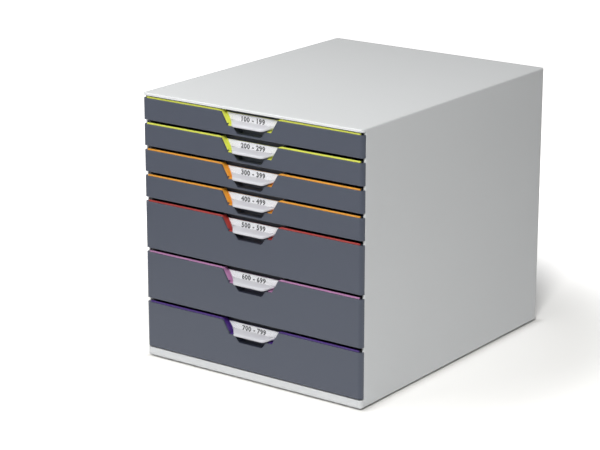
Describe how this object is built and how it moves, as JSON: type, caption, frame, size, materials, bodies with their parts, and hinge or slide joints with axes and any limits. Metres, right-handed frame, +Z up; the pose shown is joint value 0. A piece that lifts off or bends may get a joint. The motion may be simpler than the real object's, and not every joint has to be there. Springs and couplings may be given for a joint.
{
  "type": "desktop drawer box",
  "caption": "Desktop drawer box in light grey plastic, with low and tall dark drawers that slide out, coloured trims and label windows ending in a pull lip.",
  "frame": {"origin": "on the surface it stands on, under the middle of the box round the whole part with its drawers closed", "axes": "+Z up; the drawer fronts face -Y; +X is to the right of someone who faces the fronts"},
  "size_m": [0.28, 0.356, 0.292],
  "materials": {
    "casing_plastic": "light grey moulded plastic with a fine grain",
    "base_plastic": "light grey moulded plastic",
    "guide_plastic": "grey moulded plastic",
    "foot_rubber": "soft dark rubber",
    "tray_plastic": "anthracite moulded plastic",
    "front_plastic": "anthracite moulded plastic, satin",
    "trim_yellow": "yellow-green moulded plastic",
    "trim_orange": "orange moulded plastic",
    "trim_red": "red moulded plastic",
    "trim_pink": "mauve moulded plastic",
    "trim_violet": "violet moulded plastic",
    "window_clear": "clear moulded plastic",
    "label_paper": "white printed paper"
  },
  "bodies": {
    "casing": {"casing": "casing_plastic", "base_panel": "base_plastic", "guide_left": "guide_plastic", "guide_right": "guide_plastic", "feet": "foot_rubber"},
    "drawer_1": {"drawer_1_tray": "tray_plastic", "drawer_1_front": "front_plastic", "drawer_1_trim": "trim_yellow", "drawer_1_window": "window_clear", "drawer_1_label": "label_paper"},
    "drawer_2": {"drawer_2_tray": "tray_plastic", "drawer_2_front": "front_plastic", "drawer_2_trim": "trim_yellow", "drawer_2_window": "window_clear", "drawer_2_label": "label_paper"},
    "drawer_3": {"drawer_3_tray": "tray_plastic", "drawer_3_front": "front_plastic", "drawer_3_trim": "trim_orange", "drawer_3_window": "window_clear", "drawer_3_label": "label_paper"},
    "drawer_4": {"drawer_4_tray": "tray_plastic", "drawer_4_front": "front_plastic", "drawer_4_trim": "trim_orange", "drawer_4_window": "window_clear", "drawer_4_label": "label_paper"},
    "drawer_5": {"drawer_5_tray": "tray_plastic", "drawer_5_front": "front_plastic", "drawer_5_trim": "trim_red", "drawer_5_window": "window_clear", "drawer_5_label": "label_paper"},
    "drawer_6": {"drawer_6_tray": "tray_plastic", "drawer_6_front": "front_plastic", "drawer_6_trim": "trim_pink", "drawer_6_window": "window_clear", "drawer_6_label": "label_paper"},
    "drawer_7": {"drawer_7_tray": "tray_plastic", "drawer_7_front": "front_plastic", "drawer_7_trim": "trim_violet", "drawer_7_window": "window_clear", "drawer_7_label": "label_paper"}
  },
  "joints": [
    {"name": "drawer_1_slide", "type": "slide", "parent": "casing", "child": "drawer_1", "axis": [0, -1, 0], "range_m": [0, 0.26]},
    {"name": "drawer_2_slide", "type": "slide", "parent": "casing", "child": "drawer_2", "axis": [0, -1, 0], "range_m": [0, 0.26]},
    {"name": "drawer_3_slide", "type": "slide", "parent": "casing", "child": "drawer_3", "axis": [0, -1, 0], "range_m": [0, 0.26]},
    {"name": "drawer_4_slide", "type": "slide", "parent": "casing", "child": "drawer_4", "axis": [0, -1, 0], "range_m": [0, 0.26]},
    {"name": "drawer_5_slide", "type": "slide", "parent": "casing", "child": "drawer_5", "axis": [0, -1, 0], "range_m": [0, 0.26]},
    {"name": "drawer_6_slide", "type": "slide", "parent": "casing", "child": "drawer_6", "axis": [0, -1, 0], "range_m": [0, 0.26]},
    {"name": "drawer_7_slide", "type": "slide", "parent": "casing", "child": "drawer_7", "axis": [0, -1, 0], "range_m": [0, 0.26]}
  ]
}
